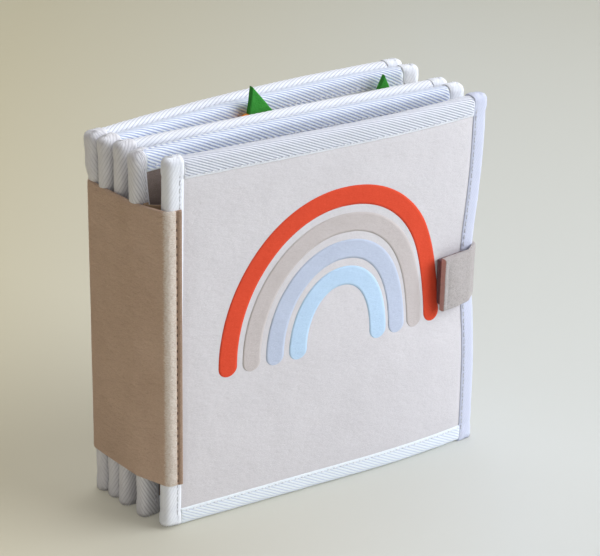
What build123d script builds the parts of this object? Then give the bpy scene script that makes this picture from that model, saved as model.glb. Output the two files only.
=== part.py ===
from build123d import *
import os
from math import cos, degrees, hypot, radians, sin

# Sizes of the boards
board_height = 200.0
board_width = 197.4
felt_thickness = 3.1
felt_seam_gap = 0.05
tape_thickness = 1.0
tape_reach = 10.0
tape_edge_radius = 3.4
tape_joint_gap = 0.1

# Sizes of the spine band and the leaf hinge strips
band_height = 150.0
band_thickness = 1.3
band_flange = 8.4
band_clearance = 0.1
strip_thickness = 1.0
strip_height = 150.0
strip_clearance = 0.1
strip_cover_clearance = 0.35
strip_bend_radius = 2.4
strip_overhang = 1.6

# Sizes of the closure strap and its patches
strap_height = 30.0
strap_thickness = 2.6
strap_clearance = 0.15
strap_tab_inset = 31.5
strap_bend_inset = 9.5
strap_back_length = 42.0
patch_height = 24.0
patch_length = 20.0
patch_thickness = 1.75
patch_inset = 1.0
patch_clearance = 0.3

# The least bend, as a sine, that a tight band makes round a board's edge
least_turn = 0.005

# Sizes of the printed arches
ink_thickness = 0.2
arch_line_width = 10.4
arch_left_pitch = 13.5
arch_right_pitch = 12.1
arch_top_pitch = 14.6
arch_count = 4
arch_left_reach = 66.0
arch_right_reach = 60.0
arch_rise = 79.3
arch_crown_place = 97.8
arch_foot_height = 79.0
arch_points = 13

# Sizes of the carrots and their pocket
carrot_length = 74.0
carrot_width = 21.0
carrot_thickness = 9.0
carrot_leaf_width = 15.0
carrot_leaf_height = 25.0
carrot_leaf_thickness = 3.0
carrot_slot_depth = 12.0
carrot_clearance = 0.35
pocket_wall = 2.0
pocket_drop = 92.0
pocket_height = 58.0
pocket_first_side = 62.0
pocket_second_side = 177.0

# Where each board's spine edge stands, and how its centre line runs from there:
# start x, start y, first heading, then pairs of share of the length and turn in degrees
front_cover_start = (3.2, -2.0)
front_leaf_start = (-3.4, 13.7)
middle_leaf_start = (-4.8, 28.4)
back_leaf_start = (-7.8, 37.8)
back_cover_start = (-10.6, 47.4)
front_cover_heading = -1.1
front_leaf_heading = 8.4
middle_leaf_heading = 1.9
back_leaf_heading = 13.0
back_cover_heading = 13.6
front_cover_run_shares = ((0.59, 1.0), (0.41, 8.1))
front_leaf_run_shares = ((0.4, -7.6), (0.6, -0.6))
middle_leaf_run_shares = ((1.0, -1.6),)
back_leaf_run_shares = ((0.79, -9.6), (0.21, -11.6))
back_cover_run_shares = ((0.5, -7.0), (0.5, -7.4))

# How wide each board is, as a share of the board width
front_cover_width_share = 0.983
front_leaf_width_share = 1.0
middle_leaf_width_share = 0.991
back_leaf_width_share = 1.01
back_cover_width_share = 1.01

# Carrots: place along the back leaf, height above the pocket's bottom, how far the green leaf
# stands out of the body, then outlines as shares of width and height
carrot_first_place = 81.5
carrot_first_lift = 12.5
carrot_first_leaf_rise = 14.0
carrot_second_place = 163.8
carrot_second_lift = 3.0
carrot_second_leaf_rise = 13.0
carrot_first_leaf_shares = ((-0.3, 0.0), (-0.47, 0.45), (-0.34, 1.0), (0.53, 0.4), (0.3, 0.0))
carrot_second_leaf_shares = ((-0.25, 0.0), (-0.52, 0.35), (-0.02, 1.0), (0.5, 0.38), (0.25, 0.0))
carrot_body_shares = ((0.0, 0.04), (0.55, 0.0), (0.93, 0.08), (0.9, 0.3), (0.55, 0.68), (0.2, 0.95), (0.0, 1.0))

# Values worked out from the sizes above
half_board = felt_seam_gap + felt_thickness + felt_seam_gap + tape_thickness
felt_face = felt_seam_gap + felt_thickness
tape_inside = half_board - tape_thickness
corner_offset = half_board - tape_edge_radius
tape_leg = tape_reach - tape_edge_radius
mid_height = board_height / 2
pocket_bottom_height = board_height - pocket_drop
carrot_base_height = pocket_bottom_height + pocket_wall


def walk(start, heading, width_share, run_shares):
    """A board's centre line between its upright tapes: arcs with place, start, heading and bend."""
    angle = radians(heading)
    x = start[0] + tape_leg * cos(angle)
    y = start[1] + tape_leg * sin(angle)
    length = board_width * width_share - 2 * tape_reach
    place = 0.0
    runs = []
    for share, turn in run_shares:
        run = length * share
        bend = radians(turn) / run
        runs.append((place, run, x, y, angle, bend))
        x += (sin(angle + bend * run) - sin(angle)) / bend
        y += (cos(angle) - cos(angle + bend * run)) / bend
        angle += bend * run
        place += run
    return runs


def line_length(line):
    place, run = line[-1][:2]
    return place + run


def heading_at(line, place):
    """Direction of the centre line at a place along it, straight on past both ends."""
    inside = min(max(place, 0.0), line_length(line))
    first, run, x, y, angle, bend = [r for r in line if r[0] <= inside][-1]
    return angle + bend * (inside - first)


def spot(line, place, offset):
    """Point at a place along a centre line, moved sideways towards the back by offset."""
    inside = min(max(place, 0.0), line_length(line))
    first, run, x, y, angle, bend = [r for r in line if r[0] <= inside][-1]
    here = angle + bend * (inside - first)
    x += (sin(here) - sin(angle)) / bend + (place - inside) * cos(here) - offset * sin(here)
    y += (cos(angle) - cos(here)) / bend + (place - inside) * sin(here) + offset * cos(here)
    return Vector(x, y, 0)


def track(line, begin, end, offset):
    """Arcs that follow a centre line at one offset, with straight ends in the upright tapes."""
    length = line_length(line)
    inner = [r[0] for r in line if begin < r[0] < end]
    stops = [begin, *inner, length, end] if begin < length < end else [begin, *inner, end]
    arcs = []
    for a, b in zip(stops, stops[1:]):
        first, middle, last = [spot(line, place, offset) for place in (a, (a + b) / 2, b)]
        straight = b <= 0.0 or a >= length
        arcs.append(Line(first, last) if straight else ThreePointArc(first, middle, last))
    return arcs


def slab(line, begin, end, near, far, low, high):
    """Sheet that follows a board between two places, two offsets and two heights."""
    edges = track(line, begin, end, near) + track(line, begin, end, far)
    edges.append(Line(spot(line, begin, near), spot(line, begin, far)))
    edges.append(Line(spot(line, end, near), spot(line, end, far)))
    face = make_face(Wire.combine(edges)[0])
    return Pos(0, 0, low) * extrude(face, amount=high - low, dir=(0, 0, 1))


def tape_section():
    """Section of a folded tape with its closed end at the origin and its legs along -Y."""
    outer = Pos(0, -tape_reach / 2) * Rectangle(2 * half_board, tape_reach)
    outer = fillet(outer.vertices().group_by(Axis.Y)[-1], tape_edge_radius)
    inner = Pos(0, -(tape_reach + tape_thickness) / 2) * Rectangle(2 * tape_inside, tape_reach - tape_thickness)
    inner = fillet(inner.vertices().group_by(Axis.Y)[-1], tape_edge_radius - tape_thickness)
    return outer - inner


def upright_tape(line, at_spine):
    """Folded tape on one upright edge of a board, with its two ends folded shut."""
    end = -tape_reach if at_spine else line_length(line) + tape_reach
    away = -1.0 if at_spine else 1.0
    here = heading_at(line, end)
    origin = spot(line, end, 0.0)
    outward = Vector(cos(here) * away, sin(here) * away, 0)
    plane = Plane(origin=origin, x_dir=outward.cross(Vector(0, 0, 1)), z_dir=(0, 0, 1))
    solid = extrude(plane * tape_section(), amount=board_height, dir=(0, 0, 1))
    cap = Pos(0, -tape_reach / 2) * Rectangle(2 * half_board, tape_reach)
    cap = fillet(cap.vertices().group_by(Axis.Y)[-1], tape_edge_radius)
    cap = extrude(plane * cap, amount=tape_thickness, dir=(0, 0, 1))
    return solid + cap + Pos(0, 0, board_height - tape_thickness) * cap


def level_tape(line, at_top):
    """Folded tape on the top or bottom edge of a board, between its upright tapes."""
    begin = tape_joint_gap
    end = line_length(line) - tape_joint_gap
    section = tape_section() if at_top else Rot(0, 0, 180) * tape_section()
    level = board_height if at_top else 0.0
    inner = [r[0] for r in line[1:]]
    solid = None
    for a, b in zip([begin, *inner], [*inner, end]):
        bend = [r for r in line if r[0] <= (a + b) / 2][-1][5]
        here = heading_at(line, a)
        origin = spot(line, a, 0.0) + Vector(0, 0, level)
        plane = Plane(origin=origin, x_dir=(-sin(here), cos(here), 0), z_dir=(cos(here), sin(here), 0))
        centre = spot(line, a, 1 / bend)
        turn = degrees(bend * (b - a))
        axis = Axis((centre.X, centre.Y, 0), (0, 0, 1 if turn > 0 else -1))
        piece = revolve(plane * section, axis=axis, revolution_arc=abs(turn))
        solid = piece if solid is None else solid + piece
    return solid


def board(line):
    """The two felt sheets and four tapes of one board, front sheet first."""
    begin, end = -tape_leg, line_length(line) + tape_leg
    low, high = tape_edge_radius, board_height - tape_edge_radius
    return {
        "front_felt": slab(line, begin, end, -felt_face, -felt_seam_gap, low, high),
        "rear_felt": slab(line, begin, end, felt_seam_gap, felt_face, low, high),
        "top_tape": level_tape(line, True),
        "bottom_tape": level_tape(line, False),
        "spine_tape": upright_tape(line, True),
        "edge_tape": upright_tape(line, False),
    }


def taut(points, side):
    """The points of a row that a tight band touches."""
    chain = []
    for point in points:
        while len(chain) > 1:
            before = (chain[-1] - chain[-2]).normalized()
            after = (point - chain[-1]).normalized()
            if before.cross(after).Z * side < -least_turn:
                break
            chain.pop()
        chain.append(point)
    return chain


def belt(points, side, inner, thickness, low, high):
    """Upright band that runs tight round a row of corner centres at a distance."""
    centres = taut(points, side)
    normals = []
    for a, b in zip(centres, centres[1:]):
        step = b - a
        normals.append(Vector(-step.Y * side, step.X * side, 0).normalized())
    edges = []
    for reach in (inner, inner + thickness):
        for i, normal in enumerate(normals):
            edges.append(Line(centres[i] + normal * reach, centres[i + 1] + normal * reach))
            if i + 1 < len(normals):
                between = (normal + normals[i + 1]).normalized()
                turn = (normal, between, normals[i + 1])
                edges.append(ThreePointArc(*[centres[i + 1] + n * reach for n in turn]))
    for i, normal in ((0, normals[0]), (-1, normals[-1])):
        edges.append(Line(centres[i] + normal * inner, centres[i] + normal * (inner + thickness)))
    face = make_face(Wire.combine(edges)[0])
    return Pos(0, 0, low) * extrude(face, amount=high - low, dir=(0, 0, 1))


def edge_corners(at_spine):
    """Centres of the roundings of all the boards' upright edges, from front to back."""
    points = []
    for line in lines.values():
        place = -tape_leg if at_spine else line_length(line) + tape_leg
        points.append(spot(line, place, -corner_offset))
        points.append(spot(line, place, corner_offset))
    return points


def spine_band():
    low = mid_height - band_height / 2
    points = [spot(front_cover, band_flange - tape_reach, -corner_offset)]
    points += edge_corners(True)
    points.append(spot(back_cover, band_flange - tape_reach, corner_offset))
    return belt(points, 1.0, tape_edge_radius + band_clearance, band_thickness, low, low + band_height)


def closure_strap():
    low = mid_height - strap_height / 2
    inner = tape_edge_radius + strap_clearance
    tab_offset = inner - hook_back - patch_clearance
    end = line_length(front_cover) + tape_reach
    points = [spot(front_cover, end - inset, tab_offset) for inset in (strap_tab_inset, strap_bend_inset)]
    points += edge_corners(False)
    points.append(spot(back_cover, line_length(back_cover) + tape_reach - strap_back_length, corner_offset))
    return belt(points, -1.0, inner, strap_thickness, low, low + strap_height)


def patch(near, far):
    """Square patch that lies on the front cover under the strap's free end."""
    begin = line_length(front_cover) + tape_reach - strap_tab_inset + patch_inset
    low = mid_height - patch_height / 2
    return slab(front_cover, begin, begin + patch_length, -far, -near, low, low + patch_height)


def bent_strip(front_line, rear_line, front_gap, rear_gap):
    """Thin hinge strip that lies on two boards' facing tapes and bends over between them."""
    low = mid_height - strip_height / 2
    front = half_board + front_gap + strip_thickness / 2
    rear = -(half_board + rear_gap + strip_thickness / 2)
    route = FilletPolyline(
        spot(front_line, 0.0, front),
        spot(front_line, -tape_leg - strip_overhang, front),
        spot(rear_line, -tape_leg - strip_overhang, rear),
        spot(rear_line, 0.0, rear),
        radius=strip_bend_radius,
    )
    start = route @ 0
    along = route % 0
    plane = Plane(origin=start + Vector(0, 0, low + strip_height / 2), x_dir=(-along.Y, along.X, 0), z_dir=along)
    wire = Pos(0, 0, low + strip_height / 2) * route
    return sweep(plane * Rectangle(strip_thickness, strip_height), path=wire)


def flat_strip(line, rear_side):
    """Thin hinge strip pressed flat on one board's spine tape."""
    low = mid_height - strip_height / 2
    near = half_board + strip_clearance
    far = near + strip_thickness
    if not rear_side:
        near, far = -far, -near
    return slab(line, -tape_leg, 0.0, near, far, low, low + strip_height)


def arch_point(left, right, rise, share, aside):
    """Point of an arch's middle line, from left foot to right foot, moved outwards by aside."""
    angle = radians(180.0 * (1 - share))
    reach = left if share < 1 / 2 else right
    x, z = reach * cos(angle), rise * sin(angle)
    nx, nz = rise * cos(angle), reach * sin(angle)
    size = hypot(nx, nz)
    foot = arch_foot_height + arch_line_width / 2
    return Vector(arch_crown_place + x + nx / size * aside, 0, foot + z + nz / size * aside)


def arch(number):
    """One printed arch, a thin skin on the front cover's face."""
    left = arch_left_reach - number * arch_left_pitch
    right = arch_right_reach - number * arch_right_pitch
    form = (left, right, arch_rise - number * arch_top_pitch)
    half = arch_line_width / 2
    shares = [i / (arch_points - 1) for i in range(arch_points)]
    outer = [arch_point(*form, share, half) for share in shares]
    inner = [arch_point(*form, share, -half) for share in shares]
    drop = Vector(0, 0, -half)
    edges = [
        Spline(outer),
        Spline(inner),
        ThreePointArc(outer[0], (outer[0] + inner[0]) / 2 + drop, inner[0]),
        ThreePointArc(outer[-1], (outer[-1] + inner[-1]) / 2 + drop, inner[-1]),
    ]
    face = make_face(Wire.combine(edges)[0])
    block = extrude(face, amount=board_width, dir=(0, 1, 0), both=True)
    skin = slab(front_cover, 0.0, line_length(front_cover), -felt_face - ink_thickness, -felt_face, 0.0, board_height)
    return (Pos(front_cover_start[0], 0, 0) * block) & skin


def carrot_plane(place):
    """Plane of a carrot: X along the back leaf, Y up, in the middle of the pocket."""
    here = heading_at(back_leaf, place)
    offset = -(half_board + carrot_clearance + carrot_thickness / 2)
    return Plane(origin=spot(back_leaf, place, offset), x_dir=(cos(here), sin(here), 0), z_dir=(sin(here), -cos(here), 0))


def carrot_leaf(place, leaf_top, leaf_shares, thickness):
    low = leaf_top - carrot_leaf_height
    points = [(x * carrot_leaf_width, low + y * carrot_leaf_height) for x, y in leaf_shares]
    face = make_face(Polyline(*points, close=True))
    return extrude(carrot_plane(place) * face, amount=thickness / 2, both=True)


def carrot_body(place, top, leaf_top, leaf_shares):
    """Stuffed felt carrot with a slot in its top for the leaf."""
    half = carrot_width / 2
    right = [(x * half, top - y * carrot_length) for x, y in carrot_body_shares]
    left = [(-x, y) for x, y in right[-2:0:-1]]
    face = make_face(Spline(*right, *left, periodic=True))
    body = extrude(carrot_plane(place) * face, amount=carrot_thickness / 2, both=True)
    slot = carrot_leaf(place, leaf_top, leaf_shares, carrot_leaf_thickness + 2 * felt_seam_gap)
    return body - slot


def carrot_pocket():
    """Open-topped felt pocket sewn on the back leaf's front."""
    low, high = pocket_bottom_height, pocket_bottom_height + pocket_height
    near = felt_face + felt_seam_gap
    far = half_board + 2 * carrot_clearance + carrot_thickness + pocket_wall
    shell = slab(back_leaf, pocket_first_side, pocket_second_side, -far, -near, low, high)
    inside = slab(
        back_leaf,
        pocket_first_side + pocket_wall,
        pocket_second_side - pocket_wall,
        pocket_wall - far,
        0.0,
        low + pocket_wall,
        board_height,
    )
    return shell - inside


front_cover = walk(front_cover_start, front_cover_heading, front_cover_width_share, front_cover_run_shares)
front_leaf = walk(front_leaf_start, front_leaf_heading, front_leaf_width_share, front_leaf_run_shares)
middle_leaf = walk(middle_leaf_start, middle_leaf_heading, middle_leaf_width_share, middle_leaf_run_shares)
back_leaf = walk(back_leaf_start, back_leaf_heading, back_leaf_width_share, back_leaf_run_shares)
back_cover = walk(back_cover_start, back_cover_heading, back_cover_width_share, back_cover_run_shares)

loop_near = felt_face + ink_thickness + felt_seam_gap
loop_far = loop_near + patch_thickness
hook_near = loop_far + patch_clearance
hook_back = hook_near + patch_thickness

parts = {}
lines = {
    "front_cover": front_cover,
    "front_leaf": front_leaf,
    "middle_leaf": middle_leaf,
    "back_leaf": back_leaf,
    "back_cover": back_cover,
}
for name, line in lines.items():
    for piece, solid in board(line).items():
        parts[name + "_" + piece] = solid

parts["spine_band"] = spine_band()
parts["hinge_strip_front_cover"] = bent_strip(front_cover, front_leaf, strip_cover_clearance, strip_clearance)
parts["hinge_strip_front_leaf"] = bent_strip(front_leaf, middle_leaf, strip_clearance, strip_clearance)
parts["hinge_strip_middle_leaf"] = flat_strip(back_leaf, False)
parts["hinge_strip_back_cover"] = flat_strip(back_leaf, True)
parts["closure_strap"] = closure_strap()
parts["loop_patch"] = patch(loop_near, loop_far)
parts["hook_patch"] = patch(hook_near, hook_back)

for number in range(arch_count):
    parts["printed_arch_" + str(number + 1)] = arch(number)

carrots = (
    (carrot_first_place, carrot_first_lift, carrot_first_leaf_rise, carrot_first_leaf_shares),
    (carrot_second_place, carrot_second_lift, carrot_second_leaf_rise, carrot_second_leaf_shares),
)
for number, (place, lift, leaf_rise, leaf_shares) in enumerate(carrots):
    label = "carrot_" + str(number + 1)
    top = carrot_base_height + lift + carrot_length
    leaf_top = top + leaf_rise
    parts[label + "_body"] = carrot_body(place, top, leaf_top, leaf_shares)
    parts[label + "_leaf"] = carrot_leaf(place, leaf_top, leaf_shares, carrot_leaf_thickness)
parts["carrot_pocket"] = carrot_pocket()

# The origin is the middle of the box round everything, at the surface the book stands on
box = Compound(children=[Compound(s.wrapped) for s in parts.values()]).bounding_box()
shift = Vector(-(box.min.X + box.max.X) / 2, -(box.min.Y + box.max.Y) / 2, 0)

# The hinge lines of the covers run up the outer corners of the spine band
band_outside = tape_edge_radius + band_clearance + band_thickness
front_hinge = spot(front_cover, -tape_leg - band_outside, -corner_offset - band_outside) + shift
back_hinge = spot(back_cover, -tape_leg - band_outside, corner_offset + band_outside) + shift
print("shift", shift.X, shift.Y)
print("front hinge", front_hinge.X, front_hinge.Y)
print("back hinge", back_hinge.X, back_hinge.Y)

os.makedirs("parts", exist_ok=True)
for name, solid in parts.items():
    export_step(Pos(shift.X, shift.Y, 0) * solid, "parts/" + name + ".step")
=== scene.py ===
import bpy
import random
from math import atan2, ceil, cos, degrees, exp, hypot, pi, radians, sin, sqrt
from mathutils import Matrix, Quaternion, Vector, noise


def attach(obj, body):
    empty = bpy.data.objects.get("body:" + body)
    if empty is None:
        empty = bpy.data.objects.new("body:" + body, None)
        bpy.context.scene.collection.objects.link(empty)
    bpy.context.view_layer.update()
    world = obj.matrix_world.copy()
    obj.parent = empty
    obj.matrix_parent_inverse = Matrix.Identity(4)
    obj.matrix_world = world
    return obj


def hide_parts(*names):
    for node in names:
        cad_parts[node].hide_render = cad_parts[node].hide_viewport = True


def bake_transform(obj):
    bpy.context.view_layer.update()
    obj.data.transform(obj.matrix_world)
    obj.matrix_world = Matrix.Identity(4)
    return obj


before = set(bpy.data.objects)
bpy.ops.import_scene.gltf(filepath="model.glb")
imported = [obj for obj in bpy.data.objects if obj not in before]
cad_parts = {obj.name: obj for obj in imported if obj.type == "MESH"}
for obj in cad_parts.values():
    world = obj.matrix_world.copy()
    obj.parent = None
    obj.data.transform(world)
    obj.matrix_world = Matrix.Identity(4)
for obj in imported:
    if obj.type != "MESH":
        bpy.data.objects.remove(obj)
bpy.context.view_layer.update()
random.seed(7)

# Sizes are in millimetres, and MM brings them to metres
MM = 0.001

# The boards as the solids have them: the outer faces of felt and tape from a board's middle, and how
# far a tape reaches in over the felt
HEIGHT = 200.0
WIDTH = 197.4
FELT_FACE = 3.15
HALF = 4.2
REACH = 10.0
EDGE_R = 3.4
LEG = REACH - EDGE_R
CORNER = HALF - EDGE_R
# Plan shift that brings the closed book's box to the origin
SHIFT = (-90.408134, -32.597945)
# Each board's spine corner, heading in degrees, share of the width, and its bends: share of the run
# and degrees turned over it
BOARDS = {
    "front_cover": ((3.2, -2.0), -1.1, 0.983, ((0.59, 1.0), (0.41, 8.1))),
    "front_leaf": ((-3.4, 13.7), 8.4, 1.0, ((0.4, -7.6), (0.6, -0.6))),
    "middle_leaf": ((-4.8, 28.4), 1.9, 0.991, ((1.0, -1.6),)),
    "back_leaf": ((-7.8, 37.8), 13.0, 1.01, ((0.79, -9.6), (0.21, -11.6))),
    "back_cover": ((-10.6, 47.4), 13.6, 1.01, ((0.5, -7.0), (0.5, -7.4))),
}
BODY = {name: name if name.endswith("cover") else "leaves" for name in BOARDS}
BAND_LOW, BAND_HIGH = 25.0, 175.0
STRAP_LOW, STRAP_HIGH = 85.0, 115.0
STRAP_MIDDLE = (STRAP_LOW + STRAP_HIGH) / 2


def walk(start, heading, width_share, runs):
    angle = radians(heading)
    x, y = start[0] + LEG * cos(angle), start[1] + LEG * sin(angle)
    length = WIDTH * width_share - 2 * REACH
    place, out = 0.0, []
    for share, turn in runs:
        run = length * share
        bend = radians(turn) / run
        out.append((place, run, x, y, angle, bend))
        x += (sin(angle + bend * run) - sin(angle)) / bend
        y += (cos(angle) - cos(angle + bend * run)) / bend
        angle += bend * run
        place += run
    return out


LINES = {name: walk(*values) for name, values in BOARDS.items()}


def line_length(line):
    return line[-1][0] + line[-1][1]


def plan(line, place, offset):
    """Plan point in millimetres at a place along a board, moved towards the back by offset."""
    inside = min(max(place, 0.0), line_length(line))
    first, run, x, y, angle, bend = [r for r in line if r[0] <= inside][-1]
    here = angle + bend * (inside - first)
    x += (sin(here) - sin(angle)) / bend + (place - inside) * cos(here) - offset * sin(here)
    y += (cos(angle) - cos(here)) / bend + (place - inside) * sin(here) + offset * cos(here)
    return x + SHIFT[0], y + SHIFT[1]


# How far each board's spine edge leans sideways at the bottom and at the top, and how far in it does
LEANS = {"front_cover": (-1.0, 1.5), "front_leaf": (0.8, -1.6), "middle_leaf": (-0.6, -0.4),
         "back_leaf": (1.4, -1.1), "back_cover": (2.1, 1.4)}
LEAN_REACH = 70
# The back cover's spine edge leans once more near its head
HEAD_LEAN, HEAD_LOW, HEAD_HIGH = 1.9, 173, 184
# How far the front cover's fore-edge is pulled back at the strap and at its foot, and how much more
# at its top
STRAP_PULL, FOOT_PULL, TOP_PULL = 5.2, -1.6, 2.7
PULL_HEIGHT, PULL_SPREAD = 108, 38
PULL_FROM, PULL_TO = 60, 190
# How much shorter the bent cover gets in plan
PULL_SHORTENS = 1.3
NAMES = {id(line): name for name, line in LINES.items()}


def pull(place, z):
    """How far the strap pulls the front cover's fore-edge back, while its upper corner follows."""
    far = TOP_PULL * smooth(0, HEIGHT, z) + FOOT_PULL
    far += STRAP_PULL * exp(-((z - PULL_HEIGHT) / PULL_SPREAD) ** 2)
    return smooth(PULL_FROM, PULL_TO, place) * far


def at(line, place, offset, z):
    """Point of a board in metres: its plan place, pulled and leant as the sewn cloth is."""
    name = NAMES[id(line)]
    if name == "front_cover":
        offset += pull(place, z)
        place -= PULL_SHORTENS * smooth(0, PULL_TO, place)
    x, y = plan(line, place, offset)
    low, high = LEANS[name]
    lean = low + (high - low) * z / HEIGHT
    if name == "back_cover":
        lean -= HEAD_LEAN * smooth(HEAD_LOW, HEAD_HIGH, z)
    return Vector((x + lean * smooth(LEAN_REACH, 0, place), y, z)) * MM


def smooth(low, high, value):
    t = min(max((value - low) / (high - low), 0.0), 1.0)
    return t * t * (3 - 2 * t)


def wave(x, y, z, size, seed=0.0):
    """Smooth noise from -1 to 1 with bumps of about that size in millimetres."""
    return noise.noise(Vector((x / size + seed, y / size - seed, z / size + 2 * seed)))


# Meshes

def mesh_piece(name, points, faces, body, slot, material=None, groove=None, rim=0):
    """Object from points and faces; its last rim faces are flat, so that a cut edge stays crisp."""
    mesh = bpy.data.meshes.new(name)
    mesh.from_pydata(points, [], faces)
    mesh.validate()
    if groove:
        layer = mesh.attributes.new("groove", "FLOAT", "POINT")
        layer.data.foreach_set("value", groove)
    obj = bpy.data.objects.new(name, mesh)
    bpy.context.scene.collection.objects.link(obj)
    mesh.materials.append(material or FELTS[slot])
    last = len(mesh.polygons) - rim
    for p in mesh.polygons:
        p.use_smooth = p.index < last
    mesh.update()
    if body:
        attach(obj, body)
    return obj


def closed_grid(front, back):
    """Points and faces of a closed sheet from two equal grids of points, front and back."""
    rows, cols = len(front), len(front[0])
    count = rows * cols
    points = [p for row in front for p in row] + [p for row in back for p in row]
    faces = []
    for i in range(rows - 1):
        for j in range(cols - 1):
            a, b, c, d = i * cols + j, i * cols + j + 1, (i + 1) * cols + j + 1, (i + 1) * cols + j
            faces.append((a, b, c, d))
            faces.append((count + d, count + c, count + b, count + a))
    rim = [(0, j) for j in range(cols)] + [(i, cols - 1) for i in range(1, rows)]
    rim += [(rows - 1, j) for j in range(cols - 2, -1, -1)] + [(i, 0) for i in range(rows - 2, 0, -1)]
    ids = [i * cols + j for i, j in rim]
    for a, b in zip(ids, ids[1:] + ids[:1]):
        faces.append((b, a, count + a, count + b))
    return points, faces


def edged(low, high, step, edge=1.0):
    """Values from low to high with closer ones at both ends, for a rounded edge."""
    return [low, low + 0.3 * edge] + spread(low + edge, high - edge, step) + [high - 0.3 * edge, high]


def rounding(d, edge=1.0):
    """Share of the full thickness at a distance in from a cut edge."""
    return 0.5 + 0.5 * sqrt(max(0.0, 1 - (1 - min(d / edge, 1.0)) ** 2))


def spread(low, high, step):
    """Even values from low to high, at most step apart."""
    n = max(2, int(ceil((high - low) / step)) + 1)
    return [low + (high - low) * i / (n - 1) for i in range(n)]


# Felt sheets

# A sheet rises beside the tapes, crowns a little, and has broad and narrow waves
FELT_RISE, FELT_CROWN = 0.45, 0.25
BROAD_WAVE, BROAD_SIZE = 0.26, 42
NARROW_WAVE, NARROW_SIZE = 0.1, 15
# The front cover's felt is also creased, and pressed down beside the tab
CREASE, CREASE_SIZE = 0.07, 6
PRESSED = 0.22
PRESSED_FROM, PRESSED_TO = (136, 62, 142), (146, 74, 130)
# Gap between a sheet's rim and the tapes' fold
FELT_GAP = 0.3


def field_edge(line, u, v):
    """Distance in from the tapes' selvedges, in millimetres."""
    return min(u, line_length(line) - u, v - REACH, HEIGHT - REACH - v)


def felt_offset(name, line, side, u, v):
    """How far a felt sheet's outer surface stands from the board's middle."""
    d = field_edge(line, u, v)
    seed = 3.1 * list(BOARDS).index(name) + side
    puff = FELT_RISE * smooth(-1.0, 0.5, d) + FELT_CROWN * smooth(0, 9.0, d)
    waves = BROAD_WAVE * wave(u, v, 0, BROAD_SIZE, seed) + NARROW_WAVE * wave(u, v, 0, NARROW_SIZE, seed + 5)
    puff += smooth(0.0, 12.0, d) * waves
    if name == "front_cover":
        puff += smooth(0.0, 5.0, d) * CREASE * wave(u * 0.7, v * 1.4, 0, CREASE_SIZE, seed + 9)
    if name == "front_cover" and side < 0:
        near = 1.0
        for low, high, place in zip(PRESSED_FROM, PRESSED_TO, (u, v, v)):
            near *= smooth(low, high, place)
        puff *= 1 - near
        puff += PRESSED * near
    return side * (FELT_FACE + puff)


def felt(name, side, part, slot):
    """One felt sheet of a board, with its outer face towards side."""
    line = LINES[name]
    length = line_length(line)
    low, high = EDGE_R + FELT_GAP, HEIGHT - EDGE_R - FELT_GAP
    step = 2.0 if name == "front_cover" and side < 0 else 3.0
    us = [-LEG + FELT_GAP, -LEG / 2] + spread(-0.6, length + 0.6, step) + [length + LEG - FELT_GAP]
    vs = [low] + spread(REACH - 0.6, HEIGHT - REACH + 0.6, step) + [high]
    outer, inner = [], []
    for u in us:
        outer.append([at(line, u, felt_offset(name, line, side, u, v), v) for v in vs])
        inner.append([at(line, u, side * 0.05, v) for v in vs])
    front, back = (outer, inner) if side < 0 else (inner, outer)
    obj = mesh_piece(f"{name}_{part}_sheet", *closed_grid(front, back), BODY[name], slot)
    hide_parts(f"{name}_{part}")


# Tapes

FOLD = pi / 2 * EDGE_R
TAPE_WIDTH = 2 * LEG + 2 * FOLD + 2 * CORNER
TAPE_THICK = 0.85
RIB = 3.3
# Depths of a rib's groove, of the sewn line and of the selvedge, and the cloth's own waves
RIB_DEPTH, SEAM_DEPTH, SELVEDGE_DEPTH = 0.2, 0.14, 0.45
TAPE_WAVE, TAPE_WAVE_SIZE = 0.12, 9
# Where a leg has points, from its selvedge, and where a fold and a rib have them, as shares
LEG_POINTS = [0.0, 0.5, 1.5, 2.4, 3.3, 4.9]
FOLD_SHARES = (0, 0.25, 0.5, 0.75, 1)
RIB_SHARES = (0.0, 0.14, 0.38, 0.62, 0.86)
# How round an upright tape's two ends are
FOOT_R, HEAD_R = 1.1, 2.8
# For each kind of tape how far its ribs lean, how much they show in relief and in painted groove shade, how
# far in from the selvedge it is sewn, and its finish, the darker and the bluer finish being white tape with
# painted shade; then the tapes that differ
TAPES = {"spine_tape": (-1.75, 0.6, 2.4, "shaded_twill_tape"), "edge_tape": (1.75, 0.3, 1.35, "twill_tape"),
         "top_tape": (-1.85, 1.6, 2.6, "blue_shaded_twill_tape"), "bottom_tape": (1.9, 0.8, 1.35, "twill_tape")}
OTHER_TAPES = {
    ("front_cover", "spine_tape"): (-1.75, 0.3, 2.4, "twill_tape"),
    ("front_cover", "edge_tape"): (1.75, 0.25, 1.35, "lavender_twill_tape"),
    ("front_cover", "top_tape"): (-2.3, 1.5, 1.35, "twill_tape"),
    ("front_cover", "bottom_tape"): (1.9, 0.65, 1.35, "blue_shaded_twill_tape"),
    ("front_leaf", "spine_tape"): (1.75, 0.75, 2.4, "shaded_twill_tape"),
    ("middle_leaf", "top_tape"): (1.75, 0.6, 1.35, "twill_tape"),
    ("back_cover", "spine_tape"): (1.75, 0.5, 2.4, "shaded_twill_tape"),
    ("back_cover", "top_tape"): (1.75, 0.7, 1.35, "twill_tape"),
}


def end_run(radius):
    """How far an upright tape's cloth runs on over its end, to the middle of the board."""
    return HALF + radius * (pi / 2 - 2)


def tape_of(name, part):
    return OTHER_TAPES.get((name, part), TAPES[part])


def seam_in(name, part):
    return tape_of(name, part)[2]


# How much narrower the front leg of the front leaf's spine tape gets, from one height to another, and
# how much narrower the front cover's is all the way
LEAF_TRIM, TRIM_LOW, TRIM_HIGH = 3.2, 150, 196
COVER_TRIM = 0.8


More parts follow.
